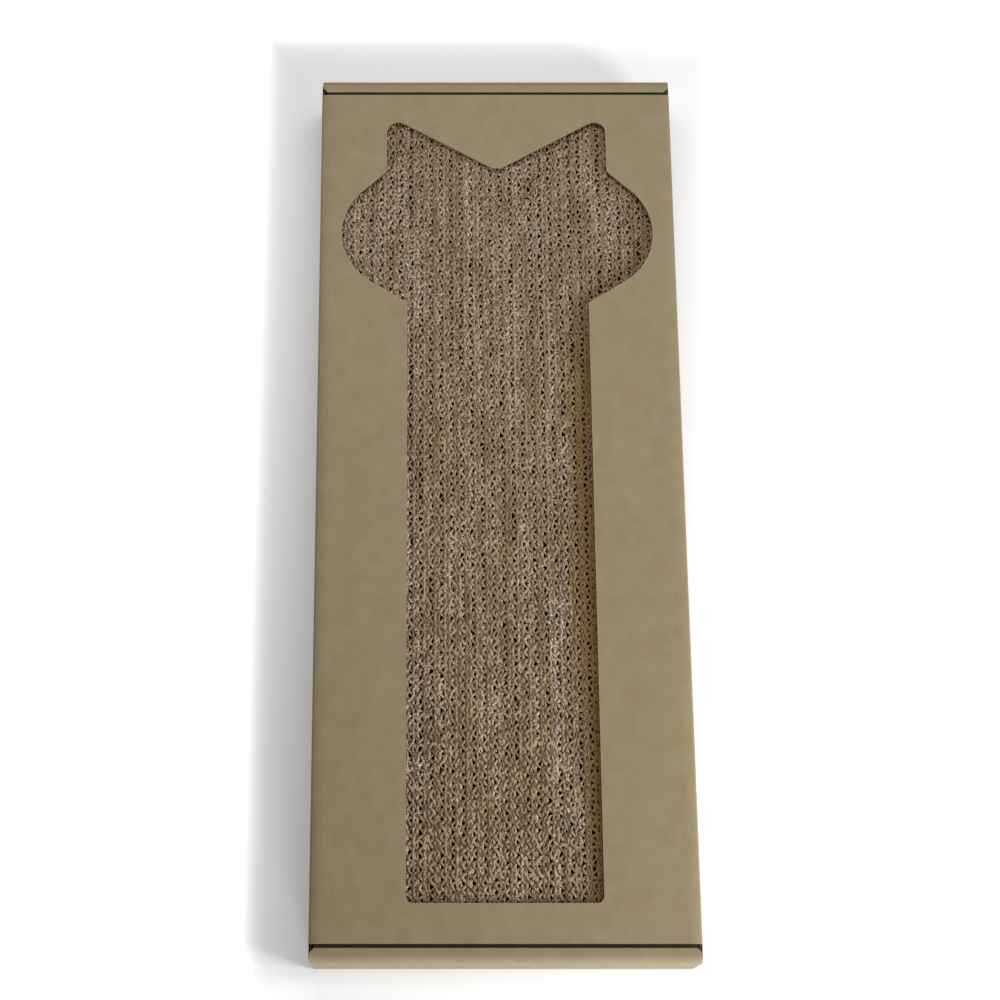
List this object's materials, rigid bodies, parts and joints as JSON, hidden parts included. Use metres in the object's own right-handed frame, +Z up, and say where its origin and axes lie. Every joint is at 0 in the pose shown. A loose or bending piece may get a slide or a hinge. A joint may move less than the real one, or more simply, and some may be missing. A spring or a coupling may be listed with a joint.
{
  "type": "cardboard cat scratcher",
  "caption": "Flat cardboard cat scratcher: a tuck-end carton with a cat-shaped window over a pad of corrugated strips on edge.",
  "frame": {"origin": "middle of the carton's bottom face, on the surface it lies on", "axes": "+X to the right across the carton, +Y along it towards the head of the window, +Z up"},
  "size_m": [0.2468, 0.616, 0.05],
  "materials": {
    "carton_board": "matte",
    "pad_board": "matte"
  },
  "bodies": {
    "sleeve": {"bottom_panel": "carton_board", "left_side_panel": "carton_board", "right_side_panel": "carton_board", "top_panel": "carton_board", "glue_flap": "carton_board"},
    "pad": {"strip_01": "pad_board", "strip_02": "pad_board", "strip_03": "pad_board", "strip_04": "pad_board", "strip_05": "pad_board", "strip_06": "pad_board", "strip_07": "pad_board", "strip_08": "pad_board", "strip_09": "pad_board", "strip_10": "pad_board", "strip_11": "pad_board", "strip_12": "pad_board", "strip_13": "pad_board", "strip_14": "pad_board", "strip_15": "pad_board", "strip_16": "pad_board", "strip_17": "pad_board", "strip_18": "pad_board", "strip_19": "pad_board", "strip_20": "pad_board", "strip_21": "pad_board", "strip_22": "pad_board", "strip_23": "pad_board", "strip_24": "pad_board", "strip_25": "pad_board", "strip_26": "pad_board", "strip_27": "pad_board", "strip_28": "pad_board", "strip_29": "pad_board", "strip_30": "pad_board", "strip_31": "pad_board", "strip_32": "pad_board", "strip_33": "pad_board", "strip_34": "pad_board", "strip_35": "pad_board"},
    "near_closure": {"near_closure": "carton_board"},
    "near_tuck_tab": {"near_tuck_tab": "carton_board"},
    "near_left_dust_flap": {"near_left_dust_flap": "carton_board"},
    "near_right_dust_flap": {"near_right_dust_flap": "carton_board"},
    "far_closure": {"far_closure": "carton_board"},
    "far_tuck_tab": {"far_tuck_tab": "carton_board"},
    "far_left_dust_flap": {"far_left_dust_flap": "carton_board"},
    "far_right_dust_flap": {"far_right_dust_flap": "carton_board"}
  },
  "joints": [
    {"name": "pad_play", "type": "slide", "parent": "sleeve", "child": "pad", "axis": [0, 1, 0], "range_m": [-0.0018, 0.0018]},
    {"name": "near_closure_fold", "type": "hinge", "parent": "sleeve", "child": "near_closure", "pos_m": [0, -0.3072, 0.0008], "axis": [1, 0, 0], "range_deg": [0, 90]},
    {"name": "near_tab_fold", "type": "hinge", "parent": "near_closure", "child": "near_tuck_tab", "pos_m": [0, -0.3072, 0.04663], "axis": [1, 0, 0], "range_deg": [-45, 0]},
    {"name": "near_left_dust_flap_fold", "type": "hinge", "parent": "sleeve", "child": "near_left_dust_flap", "pos_m": [-0.1226, -0.3054, 0.0235], "axis": [0, 0, -1], "range_deg": [0, 45]},
    {"name": "near_right_dust_flap_fold", "type": "hinge", "parent": "sleeve", "child": "near_right_dust_flap", "pos_m": [0.1226, -0.3054, 0.0235], "axis": [0, 0, 1], "range_deg": [0, 45]},
    {"name": "far_closure_fold", "type": "hinge", "parent": "sleeve", "child": "far_closure", "pos_m": [0, 0.3072, 0.0008], "axis": [-1, 0, 0], "range_deg": [0, 90]},
    {"name": "far_tab_fold", "type": "hinge", "parent": "far_closure", "child": "far_tuck_tab", "pos_m": [0, 0.3072, 0.04663], "axis": [-1, 0, 0], "range_deg": [-45, 0]},
    {"name": "far_left_dust_flap_fold", "type": "hinge", "parent": "sleeve", "child": "far_left_dust_flap", "pos_m": [-0.1226, 0.3054, 0.0235], "axis": [0, 0, 1], "range_deg": [0, 45]},
    {"name": "far_right_dust_flap_fold", "type": "hinge", "parent": "sleeve", "child": "far_right_dust_flap", "pos_m": [0.1226, 0.3054, 0.0235], "axis": [0, 0, -1], "range_deg": [0, 45]}
  ],
  "couplings": [
    {"joint": "near_tab_fold", "follows": "near_closure_fold", "ratio": -0.5},
    {"joint": "near_left_dust_flap_fold", "follows": "near_closure_fold", "ratio": 0.5},
    {"joint": "near_right_dust_flap_fold", "follows": "near_closure_fold", "ratio": 0.5},
    {"joint": "far_tab_fold", "follows": "far_closure_fold", "ratio": -0.5},
    {"joint": "far_left_dust_flap_fold", "follows": "far_closure_fold", "ratio": 0.5},
    {"joint": "far_right_dust_flap_fold", "follows": "far_closure_fold", "ratio": 0.5}
  ]
}
